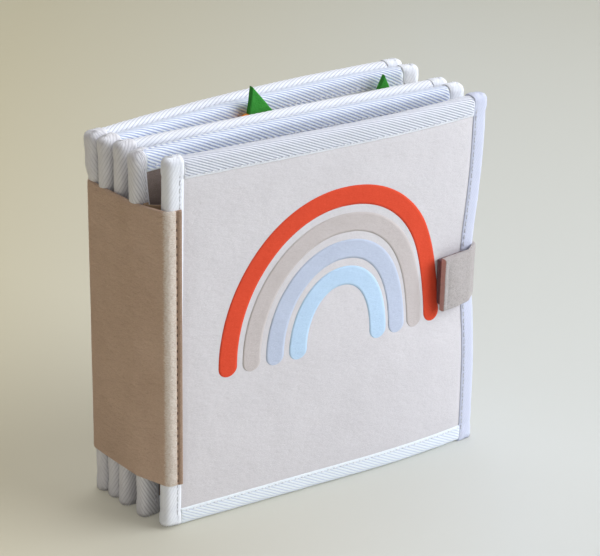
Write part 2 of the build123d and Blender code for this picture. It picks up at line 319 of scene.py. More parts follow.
def trim_at(name, z):
    """How much narrower a spine tape's front leg is than the other legs."""
    if name == "front_leaf":
        return LEAF_TRIM * smooth(TRIM_LOW, TRIM_HIGH, z)
    return COVER_TRIM if name == "front_cover" else 0.0


def tape_profile(w):
    """In from the board's edge, offset, and outward normal, at a distance across the tape."""
    half = TAPE_WIDTH / 2
    side = -1.0 if w < half else 1.0
    d = w if w < half else TAPE_WIDTH - w
    if d < LEG:
        return REACH - d, side * HALF, 0.0, side
    if d < LEG + FOLD:
        a = (d - LEG) / EDGE_R
        return EDGE_R * (1 - sin(a)), side * (CORNER + EDGE_R * cos(a)), -sin(a), side * cos(a)
    return 0.0, side * (TAPE_WIDTH / 2 - d), -1.0, 0.0


GROOVE_SHARE = 0.17


def rib_depth(phase):
    """Depth of the twill's grooves over one rib, 0 at the crest and 1 in the groove."""
    t = phase - int(phase // 1)
    near = min(t, 1 - t)
    return exp(-(near / GROOVE_SHARE) ** 2)


def tape_grid(low, high, lean, seed, place, ribs, seam_at, plain):
    """Outer and inner surface of a folded tape and its depth values, which paint shade into its grooves and
    sewn line; place(u, w, lift) gives a point.
    """
    near = LEG_POINTS + [LEG + FOLD * share for share in FOLD_SHARES]
    middle = TAPE_WIDTH / 2
    ws = near + [middle] + [TAPE_WIDTH - w for w in reversed(near)]
    reach = abs(lean) * middle
    first = int((low - reach) // RIB) - 1
    last = int((high + reach) // RIB) + 2
    outer, inner, depth = [], [], []
    for u0 in [(k + p) * RIB for k in range(first, last) for p in RIB_SHARES]:
        row, under, values = [], [], []
        inside = False
        for w in ws:
            u = u0 + lean * (w - middle)
            clipped = min(max(u, low), high)
            inside = inside or clipped == u
            groove = rib_depth(u0 / RIB) if clipped == u else 0.0
            d = min(w, TAPE_WIDTH - w)
            shown = smooth(0.4, 1.6, d) * ribs * (1 - plain * exp(-((w - middle - 1) / 4.5) ** 2))
            seam = exp(-((d - seam_at) / 0.5) ** 2)
            lift = -RIB_DEPTH * groove * min(shown, 1.0) - SEAM_DEPTH * seam
            lift += TAPE_WAVE * wave(clipped, w, 0, TAPE_WAVE_SIZE, seed)
            lift -= SELVEDGE_DEPTH * smooth(1.2, 0.0, d)
            row.append(place(clipped, w, lift))
            under.append(place(clipped, w, lift - TAPE_THICK))
            # Painted shade in the rib grooves and along the sewn line
            values.append(max(groove * shown, 0.3 * seam))
        if inside:
            outer.append(row)
            inner.append(under)
            depth.append(values)
    return outer, inner, depth


# Steps to a metre: points that round to the same step are one point
MERGE = 2e5


def clean(points, faces, values):
    """Merges points that fall together and drops faces that lose their area."""
    index, kept, new_values, first = {}, [], [], []
    for p, value in zip(points, values):
        key = (round(p.x * MERGE), round(p.y * MERGE), round(p.z * MERGE))
        if key not in index:
            index[key] = len(kept)
            kept.append(p)
            new_values.append(value)
        first.append(index[key])
    out, seen = [], set()
    for f in faces:
        ids = []
        for i in f:
            if first[i] not in ids:
                ids.append(first[i])
        key = tuple(sorted(ids))
        if len(ids) > 2 and key not in seen:
            seen.add(key)
            out.append(tuple(ids))
    return kept, out, new_values


# The end of an upright tape swells, is drawn in next to that, and is uneven at its head
END_SWELL, END_DIP, HEAD_WAVE, HEAD_RISE = 0.35, 0.12, 0.6, 0.3
# The front cover's spine tape stands a little off the floor, and nothing goes below it
COVER_FOOT, LOWEST = 1.2, 0.03


def standing_at(name, part, u, w, lift, seed):
    """Point of an upright tape; past its ends the cloth turns over and meets in the middle."""
    line = LINES[name]
    r, o, nr, no = tape_profile(w)
    if part == "spine_tape" and w < LEG:
        r -= trim_at(name, u) * (1 - w / LEG)
    end = min(u, HEIGHT - u)
    lift += END_SWELL * smooth(9.0, 6.5, end) - END_DIP * exp(-((end - 9.5) / 1.2) ** 2)
    round_end = HEAD_R if u > HEIGHT / 2 else FOOT_R
    over = max(round_end - end, 0.0)
    turn = min(over / round_end, pi / 2)
    inward = round_end * (1 - cos(turn)) + max(over - round_end * pi / 2, 0.0)
    share = min(inward / HALF, 1.0)
    r += nr * lift * cos(turn)
    o += no * lift * cos(turn)
    r += (max(r, HALF) - r) * share
    o *= 1 - share
    down = end if end > round_end else round_end - (round_end + lift) * sin(turn)
    if u > HEIGHT / 2:
        z = HEIGHT - down + (HEAD_WAVE * wave(o, r, 0, 6, seed) + HEAD_RISE) * smooth(6.0, 0.0, end)
    else:
        z = max(down, LOWEST)
        if (name, part) == ("front_cover", "spine_tape"):
            z += COVER_FOOT * smooth(8.0, 0.0, end)
    place = r - REACH if part == "spine_tape" else line_length(line) + REACH - r
    return at(line, place, o, z)


# How much less a spine tape's ribs show along its fold, and how much shorter level tapes are
SPINE_PLAIN = 0.65
LEVEL_GAP = 0.2


def tape(name, part):
    """One folded tape of a board, with its ribs, its sewn line and its ends."""
    line = LINES[name]
    length = line_length(line)
    seed = 2.3 * list(BOARDS).index(name) + 0.3 * list(TAPES).index(part)
    lean, ribs, seam_at, finish = tape_of(name, part)

    def level(u, w, lift):
        r, o, nr, no = tape_profile(w)
        r, o = r + nr * lift, o + no * lift
        z = HEIGHT - r if part == "top_tape" else r
        more = trim_at(name, z) * smooth(CORNER, -CORNER, o)
        return at(line, u + LEVEL_GAP / 2 - more * (1 - u / length), o, z)

    def standing(u, w, lift):
        return standing_at(name, part, u, w, lift, seed)

    if part in ("spine_tape", "edge_tape"):
        plain = SPINE_PLAIN if part == "spine_tape" else 0.0
        low, high = -end_run(FOOT_R), HEIGHT + end_run(HEAD_R)
        grids = tape_grid(low, high, lean, seed, standing, ribs, seam_at, plain)
        run = high - low
    else:
        run = length - LEVEL_GAP
        grids = tape_grid(0.0, run, lean, seed, level, ribs, seam_at, 0.0)
    if part in ("edge_tape", "bottom_tape"):
        grids = [[row[::-1] for row in grid] for grid in grids]
    outer, inner, depth = grids
    flat = [value for row in depth for value in row]
    points, faces, values = clean(*closed_grid(outer, inner), flat + flat)
    obj = mesh_piece(f"{name}_{part}_woven", points, faces, BODY[name], "edge_tape", COTTONS[finish], values)
    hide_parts(f"{name}_{part}")


# Materials

def material(name, colour, roughness, sheen=0.0, sheen_tint=(1, 1, 1, 1)):
    m = bpy.data.materials.new(name)
    m.use_nodes = True
    shader = m.node_tree.nodes["Principled BSDF"]
    values = {"Base Color": linear(colour), "Roughness": roughness, "Sheen Weight": sheen,
              "Sheen Roughness": 0.5, "Sheen Tint": sheen_tint, "Specular IOR Level": 0.25}
    for key, value in values.items():
        shader.inputs[key].default_value = value
    return m, m.node_tree, shader


def linear(colour):
    """Colour written as 0 to 255 numbers, as the shader wants it."""
    out = []
    for c in colour:
        c = c / 255
        out.append(c / 12.92 if c <= 0.04045 else ((c + 0.055) / 1.055) ** 2.4)
    return (*out, 1)


def node(nt, kind, inputs=None, **settings):
    """Node with some settings, its inputs linked to other outputs or set to values."""
    n = nt.nodes.new(kind)
    for key, value in settings.items():
        setattr(n, key, value)
    for key, value in (inputs or {}).items():
        if isinstance(value, bpy.types.NodeSocket):
            nt.links.new(value, n.inputs[key])
        else:
            n.inputs[key].default_value = value
    return n


def mix(nt, factor, a, b):
    return node(nt, "ShaderNodeMix", {0: factor, 6: a, 7: b}, data_type="RGBA").outputs[2]


def noise_of(nt, coords, scale, detail, rough=0.6):
    values = {"Vector": coords, "Scale": scale, "Detail": detail, "Roughness": rough}
    return node(nt, "ShaderNodeTexNoise", values).outputs["Fac"]


def ramp(nt, value, low, high, a=0.0, b=1.0):
    """Straight run from a to b while the value runs from low to high."""
    values = {"Value": value, "From Min": low, "From Max": high, "To Min": a, "To Max": b}
    return node(nt, "ShaderNodeMapRange", values).outputs["Result"]


def bump(nt, height, strength, distance, after=None):
    values = {"Height": height, "Strength": strength, "Distance": distance}
    if after is not None:
        values["Normal"] = after
    return node(nt, "ShaderNodeBump", values).outputs["Normal"]


MOTTLE = 0.35


def felt_material(name, colour, dark, light, sheen, fuzz=0.5, speck=0.35, worn_and_highlight=None, cut_shade=None):
    """Needled felt: soft mottling, matted fibres and a fuzzy nap, with a lighter colour for worn fibres and
    painted highlight, and a cut edge colour for painted shade.
    """
    m, nt, shader = material(name, colour, 0.95, sheen, linear(light))
    coords = node(nt, "ShaderNodeTexCoord").outputs["Object"]
    broad = noise_of(nt, coords, scale=55, detail=4)
    turned = {"Vector": coords, "Scale": (1.0, 1.0, 2.2), "Rotation": (0.2, 0.5, 0.3)}
    matted = node(nt, "ShaderNodeMapping", turned).outputs["Vector"]
    fibre = noise_of(nt, matted, scale=900, detail=5, rough=0.7)
    fine = noise_of(nt, coords, scale=2600, detail=3, rough=0.7)
    base = mix(nt, ramp(nt, broad, 0.35, 0.7, 0, MOTTLE), linear(colour), linear(dark))
    base = mix(nt, ramp(nt, fibre, 0.52, 0.75, 0, speck), base, linear(light))
    base = mix(nt, ramp(nt, fibre, 0.5, 0.28, 0, speck), base, linear(dark))
    if worn_and_highlight:
        # The groove attribute gives painted highlight above zero and painted shade below zero
        painted_light = node(nt, "ShaderNodeAttribute", attribute_name="groove").outputs["Fac"]
        ragged = node(nt, "ShaderNodeMath", {0: fibre, 1: 1.6, 2: painted_light}, operation="MULTIPLY_ADD").outputs[0]
        base = mix(nt, ramp(nt, ragged, 1.05, 1.6, 0, 0.8), base, linear(worn_and_highlight))
        base = mix(nt, ramp(nt, ragged, 0.5, -0.1, 0, 0.9), base, linear(cut_shade))
    nt.links.new(base, shader.inputs["Base Color"])
    relief = noise_of(nt, matted, scale=210, detail=3)
    normal = None
    layers = ((broad, 0.35, 0.004), (relief, 0.7, 0.0016), (fibre, 0.8, 0.0007), (fine, 0.8, 0.0003))
    for height, strength, distance in layers:
        normal = bump(nt, height, strength * fuzz, distance, normal)
    nt.links.new(normal, shader.inputs["Normal"])
    return m


def cotton_material(name, crest, groove, stain):
    """Cotton twill: pale ribs with painted shade in the grooves, along the sewn lines and at the stitch
    ends, and fine yarns.
    """
    m, nt, shader = material(name, crest, 0.85, 0.15)
    coords = node(nt, "ShaderNodeTexCoord").outputs["Object"]
    groove_shade = node(nt, "ShaderNodeAttribute", attribute_name="groove").outputs["Fac"]
    fine = noise_of(nt, coords, scale=2200, detail=2)
    broad = noise_of(nt, coords, scale=240, detail=3)
    base = mix(nt, ramp(nt, groove_shade, 0.1, 1.0, 0, 0.8), linear(crest), linear(groove))
    base = mix(nt, ramp(nt, broad, 0.4, 0.7, 0, 0.2), base, linear(stain))
    nt.links.new(base, shader.inputs["Base Color"])
    nt.links.new(bump(nt, fine, 0.35, 0.0004), shader.inputs["Normal"])
    return m


# Sheen, fuzz and speckle of the prints
PRINT = (0.08, 0.3, 0.25)
# Colour, dark and light shade, sheen, fuzz, speckle, the lighter colour for worn fibres and painted
# highlight, and the cut colour for painted shade of each felt
FELT_LOOKS = {
    "cover_felt": ((221, 218, 223), (209, 206, 211), (232, 230, 235), 0.12, 0.3, 0.25),
    "lining_felt": ((214, 209, 204), (200, 195, 190), (226, 222, 218), 0.15),
    "page_felt": ((216, 205, 190), (203, 191, 174), (228, 219, 206), 0.15),
    "brown_felt": ((150, 136, 130), (118, 104, 98), (176, 162, 156), 0.2),
    # The band's worn colour is also painted highlight on its corners, and its cut colour is painted shade at
    # its ends and seams
    "band_felt": ((212, 184, 164), (184, 154, 132), (232, 210, 194), 0.2, 0.9, 0.45, (240, 233, 226),
                  (168, 141, 122)),
    # The strap's cut colour is painted shade at its ends
    "strap_felt": ((192, 186, 186), (172, 163, 160), (210, 205, 204), 0.3, 0.9, 0.5, (214, 208, 204),
                   (198, 154, 144)),
    "strip_felt": ((186, 160, 134), (160, 132, 106), (206, 184, 160), 0.2),
    "pocket_felt": ((190, 164, 136), (168, 140, 112), (208, 184, 158), 0.2),
    # The pile patches' dark colour is painted shade under the strap's tab
    "shaded_patch_felt": ((128, 96, 100), (104, 76, 80), (160, 128, 132), 0.2),
    "red_print": ((228, 80, 52), (214, 70, 46), (238, 98, 68), *PRINT),
    "taupe_print": ((204, 196, 196), (194, 185, 184), (216, 208, 207), *PRINT),
    "grey_blue_print": ((196, 206, 228), (186, 196, 219), (208, 217, 235), *PRINT),
    "light_blue_print": ((194, 221, 248), (184, 212, 242), (208, 230, 250), *PRINT),
    "orange_felt": ((240, 150, 70), (222, 130, 50), (248, 180, 110), 0.2),
    "green_felt": ((62, 158, 60), (40, 128, 44), (96, 182, 90), 0.15),
}
FELTS = {name: felt_material(name, *looks) for name, looks in FELT_LOOKS.items()}
# Crest, groove colour for painted shade, and stain of each cotton
COTTON_LOOKS = {
    "thread": ((238, 240, 248), (132, 130, 144), (224, 227, 238)),
    "band_thread": ((96, 74, 62), (58, 42, 36), (84, 64, 54)),
    "twill_tape": ((242, 245, 253), (122, 128, 156), (220, 226, 240)),
    # White tape made bluer: painted blue shade
    "blue_shaded_twill_tape": ((242, 249, 255), (132, 148, 204), (230, 240, 255)),
    # White tape made darker: painted shade
    "shaded_twill_tape": ((230, 230, 236), (128, 126, 140), (206, 206, 214)),
    "lavender_twill_tape": ((212, 217, 238), (160, 164, 190), (202, 207, 229)),
}
COTTONS = {name: cotton_material(name, *looks) for name, looks in COTTON_LOOKS.items()}

# Each board's front and rear felt
BOARD_FELTS = {"front_cover": ("cover_felt", "lining_felt"), "front_leaf": ("brown_felt", "page_felt"),
               "middle_leaf": ("page_felt", "page_felt"), "back_leaf": ("page_felt", "page_felt"),
               "back_cover": ("lining_felt", "cover_felt")}
for name, (front_slot, rear_slot) in BOARD_FELTS.items():
    felt(name, -1, "front_felt", front_slot)
    felt(name, 1, "rear_felt", rear_slot)
    for part in ("top_tape", "bottom_tape", "spine_tape", "edge_tape"):
        tape(name, part)


# Stitches

THREAD_R = 0.3
STITCH, STITCH_GAP = 3.2, 0.8
STITCH_JITTER = 0.12
# How far the thread lies in a tape's face, and how much further in a level seam
THREAD_SINK, SEAM_SINK = 0.05, 0.12
# Where along a stitch its thread has points, and how thick it is there, as shares
STITCH_SHARES = ((0.18, 0.8), (0.5, 1.0), (0.82, 0.8))
# How far from a board's corner its seams start: level ones, then upright ones
LEVEL_START, UPRIGHT_START = 1.5, 3.0


def stitch_mesh(name, rows, body, slot, thread):
    """Many short thread stitches, each from a start point, an end point and an outward normal."""
    points, faces, values = [], [], []
    for a, b, up in rows:
        along = (b - a).normalized()
        side = along.cross(up).normalized()
        r = THREAD_R * MM
        base = len(points)
        points.append(a - up * r * 0.8)
        for t, k in STITCH_SHARES:
            c = a.lerp(b, t)
            for v in (side, up, -side, -up):
                points.append(c + v * r * k)
        points.append(b - up * r * 0.8)
        # Thread darker towards both ends: painted shade where each stitch dips into the cloth
        values += [1.0] + [0.7] * 4 + [0.0] * 4 + [0.7] * 4 + [1.0]
        last = base + 13
        for i in range(4):
            j = (i + 1) % 4
            faces.append((base, base + 1 + j, base + 1 + i))
            for ring in (0, 4):
                p = base + 1 + ring
                faces.append((p + i, p + j, p + 4 + j, p + 4 + i))
            faces.append((base + 9 + i, base + 9 + j, last))
    mesh_piece(name, points, faces, body, slot, COTTONS[thread], values)


def seam_of_board(name, side):
    """Thread round a board's four tapes on one side."""
    line = LINES[name]
    length = line_length(line)
    depth = HALF - THREAD_SINK
    rows = []

    def add(spot, low, high):
        s0 = low
        while s0 + STITCH < high:
            jitter = random.uniform(-STITCH_JITTER, STITCH_JITTER)
            a, b = spot(s0, jitter), spot(s0 + STITCH, -jitter)
            up = (spot(s0, 0, 1.0) - spot(s0, 0)).normalized()
            rows.append((a, b, up))
            s0 += STITCH + STITCH_GAP
    for part in ("top_tape", "bottom_tape"):
        margin = seam_in(name, part)
        z = HEIGHT - REACH + margin if part == "top_tape" else REACH - margin
        add(lambda u, j, o=0.0, z=z: at(line, u, side * (depth - SEAM_SINK + o), z + j),
            LEVEL_START, length - LEVEL_START)

    def spine_place(z):
        trim = trim_at(name, z) if side < 0 else 0.0
        return -trim - seam_in(name, "spine_tape") * (1 - trim / LEG)
    high = HEIGHT - UPRIGHT_START
    add(lambda z, j, o=0.0: at(line, spine_place(z) + j, side * (depth + o), z), UPRIGHT_START, high)
    u = length + seam_in(name, "edge_tape")
    add(lambda z, j, o=0.0: at(line, u + j, side * (depth + o), z), UPRIGHT_START, high)
    return rows


for name in BOARDS:
    rows = seam_of_board(name, -1) + seam_of_board(name, 1)
    stitch_mesh(f"{name}_stitches", rows, BODY[name], "edge_tape", "thread")


# Spine band and closure strap

def taut(points, side):
    """The points of a row that a tight band touches."""
    chain = []
    for x, y in points:
        while len(chain) > 1:
            (x0, y0), (x1, y1) = chain[-2:]
            turn = (x1 - x0) * (y - y1) - (y1 - y0) * (x - x1)
            if turn * side < -0.005 * hypot(x1 - x0, y1 - y0) * hypot(x - x1, y - y1):
                break
            chain.pop()
        chain.append((x, y))
    return chain


# Most degrees that a band turns from one point to the next
TURN_STEP = 14


def belt_path(points, side, reach, step):
    """Points along a tight band at a distance from its corners: x, y, normal and distance run."""
    chain = taut(points, side)
    normals = []
    for (x0, y0), (x1, y1) in zip(chain, chain[1:]):
        d = hypot(x1 - x0, y1 - y0)
        normals.append((-(y1 - y0) / d * side, (x1 - x0) / d * side))
    path, run = [], 0.0
    for i, ((x0, y0), (x1, y1)) in enumerate(zip(chain, chain[1:])):
        nx, ny = normals[i]
        d = hypot(x1 - x0, y1 - y0)
        for t in spread(0, d, step):
            path.append((x0 + (x1 - x0) * t / d, y0 + (y1 - y0) * t / d, nx, ny, run + t))
        run += d
        if i + 1 < len(normals):
            a0 = atan2(ny, nx)
            a1 = atan2(normals[i + 1][1], normals[i + 1][0])
            while a1 - a0 > pi:
                a1 -= 2 * pi
            while a1 - a0 < -pi:
                a1 += 2 * pi
            n = max(2, int(abs(degrees(a1 - a0)) / TURN_STEP) + 1)
            for k in range(1, n):
                a = a0 + (a1 - a0) * k / n
                path.append((x1, y1, cos(a), sin(a), run + abs(a1 - a0) * reach * k / n))
            run += abs(a1 - a0) * reach
    return path, run


def belt_mesh(name, path, zs, inner, outer, body, slot, painted_light=None, height=lambda run, z: z):
    """Closed strip along a path; inner and outer give the two surfaces' reach at a run and height."""
    front, back, values = [], [], []
    for x, y, nx, ny, run in path:
        for rows, reach in ((front, outer), (back, inner)):
            far = [reach(run, z) for z in zs]
            rows.append([Vector((x + nx * r, y + ny * r, height(run, z))) * MM for r, z in zip(far, zs)])
        values.append([painted_light(run, z) if painted_light else 0.0 for z in zs])
    flat = [v for row in values for v in row]
    rim = 2 * (len(path) + len(zs)) - 4
    return mesh_piece(name, *closed_grid(front, back), body, slot, groove=flat + flat, rim=rim)


# Height at which the band's and the strips' plan routes are read
ROUTE_HEIGHT = 100.0


def edge_corners(at_spine):
    """Plan points of the boards' edge corners, from the front cover to the back cover."""
    points = []
    for name, line in LINES.items():
        place = -LEG if at_spine else line_length(line) + LEG
        for offset in (-CORNER, CORNER):
            p = at(line, place, offset, ROUTE_HEIGHT)
            points.append((p.x / MM, p.y / MM))
    return points


# How far the band's ends lie on the covers' faces, and where they are sewn
FLANGE = 8.7
BAND_SEAM = 2.7
COVER, BACK = LINES["front_cover"], LINES["back_cover"]
band_points = []
for line, offset in ((COVER, -CORNER), (BACK, CORNER)):
    p = at(line, FLANGE - REACH, offset, ROUTE_HEIGHT) / MM
    band_points.append((p.x, p.y))
band_points[1:1] = edge_corners(True)
BAND_INNER, BAND_OUTER = EDGE_R - 0.3, EDGE_R + 1.05
BAND_STEP = 2.6
band_path, band_run = belt_path(band_points, 1.0, BAND_OUTER, BAND_STEP)
# Depth of the sewn groove, and how far the ends lift beside it
BAND_GROOVE, END_LIFT, END_TUCK = 0.75, 0.35, 0.2


def band_outer(run, z):
    """Reach of the band's outer face: rounded edges, shallow waves and a groove at the seam."""
    end = min(run, band_run - run)
    edge = min(z - BAND_LOW, BAND_HIGH - z)
    thick = BAND_OUTER - BAND_INNER
    reach = BAND_INNER + thick * rounding(edge) * rounding(end, 0.8)
    waves = 0.3 * wave(run, z, 0, 38, 2.0) + 0.12 * wave(run, z, 0, 13, 8.0)
    reach += smooth(0, 8, edge) * smooth(6, 12, end) * waves
    reach -= BAND_GROOVE * exp(-((end - BAND_SEAM) / 0.5) ** 2)
    return reach + END_LIFT * smooth(BAND_SEAM, 0.0, end)


def band_inner(run, z):
    end = min(run, band_run - run)
    return BAND_INNER + END_TUCK * smooth(BAND_SEAM - 0.3, 0.0, end)


def band_highlight_and_shade(run, z):
    """Painted highlight in the worn colour on the corners beside the seam, and painted shade in the cut
    colour at the ends and in the groove.
    """
    end = min(run, band_run - run)
    corner = smooth(BAND_SEAM, BAND_SEAM + 1.0, end) * smooth(11.8, 8.5, end)
    inner = smooth(BAND_SEAM + 0.4, BAND_SEAM - 0.4, end)
    seam = exp(-((end - BAND_SEAM) / 0.6) ** 2)
    return 0.75 * corner - 0.95 * inner - 0.8 * seam


band_zs = edged(BAND_LOW, BAND_HIGH, 3.4)


def refine(path, runs):
    """Adds points to the straight parts of a path at given runs."""
    out = list(path)
    for r in runs:
        for a, b in zip(path, path[1:]):
            if a[4] < r < b[4] and (a[2], a[3]) == (b[2], b[3]):
                t = (r - a[4]) / (b[4] - a[4])
                out.append((a[0] + (b[0] - a[0]) * t, a[1] + (b[1] - a[1]) * t, a[2], a[3], r))
    return sorted(out, key=lambda p: p[4])


# Runs near an end where the path has more points, for its rounded edge, its seam and its worn corner
near_end = [0.25, 0.8, 5.2, 8.5, 10.5, 12.5] + [BAND_SEAM + step for step in (-1.2, -0.6, 0.0, 0.6, 1.2)]
both_ends = near_end + [band_run - r for r in near_end]


def straight_join():
    """Run of a path point nearest the band's middle, in a straight part."""
    runs = []
    for a, b, c in zip(band_path, band_path[1:], band_path[2:]):
        if a[2:4] == b[2:4] == c[2:4]:
            runs.append(b[4])
    return min(runs, key=lambda r: abs(r - band_run / 2))


join = straight_join()
# The rear half of the band runs on inside the front half's end, so that no gap shows: how far it does,
# how much further in its faces are there, and its upper and lower edge
TONGUE, TUCK, INSET = 1.8, 0.2, 0.5
# Length of the band's stitches, the gap between them, and how far they stand over the groove
BAND_STITCH, BAND_STITCH_GAP, BAND_STITCH_LIFT = 1.9, 2.4, 0.3


def band_stitches(label, path, seam_run, body):
    """Thread along the groove that sews an end of the band down."""
    x, y, nx, ny, run = min(path, key=lambda p: abs(p[4] - seam_run))
    out = Vector((nx, ny, 0.0))

    def spot(z):
        return (Vector((x, y, z)) + out * (band_outer(run, z) + BAND_STITCH_LIFT)) * MM
    rows = []
    z = BAND_LOW + LEVEL_START
    while z + BAND_STITCH < BAND_HIGH - LEVEL_START:
        rows.append((spot(z), spot(z + BAND_STITCH), out))
        z += BAND_STITCH + BAND_STITCH_GAP
    stitch_mesh(f"{label}_stitches", rows, body, "band_felt", "band_thread")


def band_half(label, body, line, side):
    """The front or rear half of the spine band, between the leaves and its cover, with its stitches on the
    cover.
    """
    def tucked(run):
        return smooth(0.0, INSET, join - run) if side > 0 else 0.0

    def inner(run, z):
        return band_inner(run, z) + TUCK * tucked(run)

    def outer(run, z):
        return band_outer(run, z) - TUCK * tucked(run)

    def height(run, z):
        inset = INSET * tucked(run)
        return min(max(z, BAND_LOW + inset), BAND_HIGH - inset)
    low, high = (-1.0, join) if side < 0 else (join - TONGUE - INSET / 2, band_run + 1.0)
    path = refine(band_path, both_ends + [join - TONGUE, join - INSET, join - INSET / 2, join + INSET / 2])
    path = [p for p in path if low < p[4] <= high]
    obj = belt_mesh(label, path, band_zs, inner, outer, None, "band_felt", band_highlight_and_shade, height)
    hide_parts("spine_band")
    x, y = plan(line, -LEG - BAND_OUTER, side * (CORNER + BAND_OUTER))
    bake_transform(obj)
    band_stitches(label, path, BAND_SEAM if side < 0 else band_run - BAND_SEAM, body)


band_half("spine_band_front", "front_cover", COVER, -1.0)
band_half("spine_band_rear", "back_cover", BACK, 1.0)

# The strap's free end, its bend over the fore-edge and its sewn end, in from the boards' edges
STRAP_END = 28.3
STRAP_BEND = 9.5
STRAP_BACK = 42.0
# Inner and outer face of the two patches, from the cover's middle
LOOP_NEAR, LOOP_FAR = 3.3, 5.2
HOOK_NEAR, HOOK_BACK = 5.4, 7.8
# Thickness of the strap, how much thicker its tab is, and the runs over which it gets thicker
STRAP_THICK, TAB_THICKER = 1.9, 1.5
TAB_START, TAB_FULL = 22, 8
# The sewn box at each end of the strap: half its height, its near and its far line, and its depth
BOX_HALF, BOX_NEAR, BOX_FAR, BOX_DEPTH = 12.3, 2.6, 23.5, 0.35
strap_reach = EDGE_R - 0.35
tab_offset = strap_reach - HOOK_BACK
end_place = line_length(COVER) + REACH
strap_points = []
for inset in (STRAP_END, STRAP_BEND):
    p = at(COVER, end_place - inset, tab_offset, STRAP_MIDDLE)
    strap_points.append((p.x / MM, p.y / MM))
strap_points += edge_corners(False)
strap_points.append(plan(BACK, line_length(BACK) + REACH - STRAP_BACK, CORNER))
strap_path, strap_run = belt_path(strap_points, -1.0, strap_reach + 2.0, 2.4)


def strap_outer(run, z):
    """Reach of the strap's outer face: thicker at its tab, with a sewn box at each end."""
    edge = min(z - STRAP_LOW, STRAP_HIGH - z)
    end = min(run, strap_run - run)
    up = abs(z - STRAP_MIDDLE)
    thick = STRAP_THICK + TAB_THICKER * smooth(TAB_START, TAB_FULL, run)
    reach = strap_reach + thick * rounding(edge, 0.7) * (0.8 + 0.2 * rounding(end, 0.4))
    level = exp(-((up - BOX_HALF) / 0.5) ** 2) * smooth(2.0, 2.8, end)
    level *= smooth(BOX_FAR + 0.5, BOX_FAR - 0.5, end)
    upright = exp(-((end - BOX_NEAR) / 0.5) ** 2) * (up < BOX_HALF + 0.3)
    reach -= BOX_DEPTH * max(level, upright)
    return reach + smooth(0, 5, edge) * (0.22 * wave(run, z, 0, 16, 4.0) + 0.1 * wave(run, z, 0, 6, 9.0))


def strap_end_shade(run, z):
    """The cut colour at the strap's two ends, painted shade."""
    end = min(run, strap_run - run)
    return -1.2 if end < 0.1 else 0.0


strap_zs = edged(STRAP_LOW, STRAP_HIGH, 2.0, 0.8)
# Runs near both ends where the path has more points, for the cut edge and the sewn box
strap_ends = [0.25, 0.8, 2.1, 2.6, 3.1, 22, 23.5]
strap_ends += [strap_run - r for r in strap_ends]
strap = belt_mesh("closure_strap_felt", refine(strap_path, strap_ends), strap_zs, lambda r, z: strap_reach,
                  strap_outer, "back_cover", "strap_felt", strap_end_shade)
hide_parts("closure_strap")

# The patches' distance in from the strap's free end, their length and their heights
PATCH_IN, PATCH_LENGTH = 1.2, 20.0
PATCH_LOW, PATCH_HIGH = 87.5, 112.5


def patch_piece(name, near, far, body, seed):
    """A stiff pile patch between two offsets from the cover's middle, flat across its height."""
    begin = end_place - STRAP_END + PATCH_IN
    us = edged(begin, begin + PATCH_LENGTH, 1.6, 0.5)
    vs = edged(PATCH_LOW, PATCH_HIGH, 1.6, 0.5)

    def surface(u, v, offset):
        back = pull(u, STRAP_MIDDLE) - pull(u, v)
        return at(COVER, u, -offset + back + 0.12 * wave(u, v, 0, 3, seed), v)
    outer = [[surface(u, v, far) for v in vs] for u in us]
    inner = [[surface(u, v, near) for v in vs] for u in us]
    obj = mesh_piece(name + "_pile", *closed_grid(outer, inner), body, "patch", FELTS["shaded_patch_felt"])
    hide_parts(name)


patch_piece("loop_patch", LOOP_NEAR, LOOP_FAR, "front_cover", 1.0)
patch_piece("hook_patch", HOOK_NEAR, HOOK_BACK, "back_cover", 2.0)


# Printed arches on the front cover

ARCH_LINE = 10.4
# How far a print stands over the felt and reaches into it
ARCH_OVER, ARCH_INTO = 0.04, 0.25
# Left reach, right reach and rise of each arch's middle line
ARCHES = ((66.0, 60.0, 79.3), (52.5, 47.9, 64.7), (39.0, 35.8, 50.1), (25.5, 23.7, 35.5))
ARCH_X, ARCH_FOOT = 101.0, 84.2
# Steps along an arch's middle line and across it
ARCH_STEPS, ARCH_COLUMNS = 90, 8
PLACES = []
for i in range(400):
    place = -5 + i * 0.5
    PLACES.append((at(COVER, place, -FELT_FACE, 130.0).x / MM - SHIFT[0], place))


def place_of(x):
    """Place along the cover that lies at a plan x of the front face."""
    for (x0, p0), (x1, p1) in zip(PLACES, PLACES[1:]):
        if x0 <= x <= x1:
            return p0 + (p1 - p0) * (x - x0) / (x1 - x0)
    return PLACES[-1][1]


def arch_line(number):
    """Middle line of an arch, from the left foot to the right foot."""
    left, right, rise = ARCHES[number]
    out = []
    for i in range(ARCH_STEPS + 1):
        a = pi * (1 - i / ARCH_STEPS)
        c, q = cos(a), sin(a)
        n = 1.0 if c < 0 else 1 / 1.1
        x = (left if c < 0 else right) * (abs(c) ** n) * (-1 if c < 0 else 1)
        out.append((ARCH_X + x, ARCH_FOOT + rise * q ** n))
    return out


